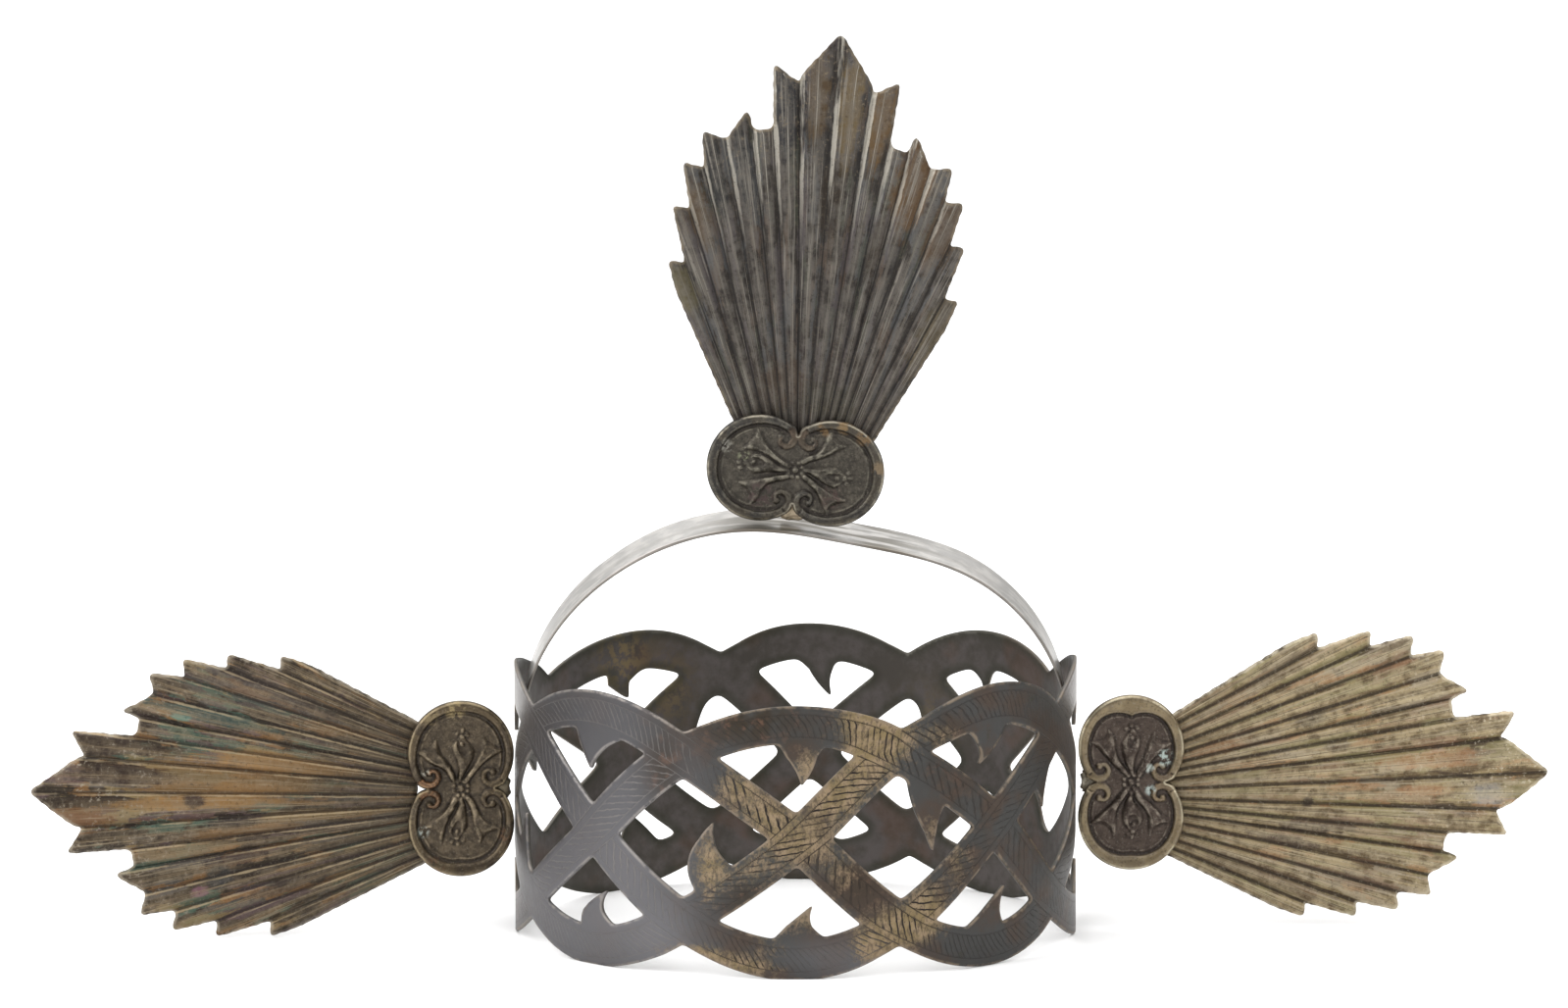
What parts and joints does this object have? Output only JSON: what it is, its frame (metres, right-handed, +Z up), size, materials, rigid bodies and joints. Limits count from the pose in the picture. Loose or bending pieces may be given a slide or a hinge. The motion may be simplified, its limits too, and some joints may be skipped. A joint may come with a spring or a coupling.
{
  "type": "crown of thorns",
  "caption": "Openwork metal crown of interlaced thorny strands, with a plain strip arch over it and fluted fan rays, each behind an embossed double-round cartouche.",
  "frame": {"origin": "middle of the crown's overall width and depth, at the feet of the band", "axes": "+Z up, the engraved front faces -Y, +X to the right of a viewer in front"},
  "size_m": [0.2789, 0.1036, 0.1654],
  "materials": {
    "dark_silver": "engraved sheet silver, tarnished dark, worn to a dull sheen",
    "bright_silver": "plain sheet silver, satin",
    "ray_silver_left": "fluted sheet silver with a brown, streaky tarnish",
    "ray_silver_right": "fluted sheet silver with a light tan tarnish, dark in the valleys",
    "ray_silver_top": "fluted sheet silver, tarnished dark grey",
    "cartouche_silver_left": "embossed sheet silver with a dark brown tarnish",
    "cartouche_silver_right": "embossed sheet silver with a tan tarnish",
    "cartouche_silver_top": "embossed sheet silver, tarnished dark grey",
    "solder": "dull brownish solder"
  },
  "bodies": {
    "root": {"band": "dark_silver", "arch": "bright_silver", "ray_left": "ray_silver_left", "ray_right": "ray_silver_right", "ray_top": "ray_silver_top", "cartouche_left": "cartouche_silver_left", "cartouche_right": "cartouche_silver_right", "cartouche_top": "cartouche_silver_top", "tab_left": "solder", "tab_right": "solder", "tab_top": "solder"}
  },
  "joints": []
}
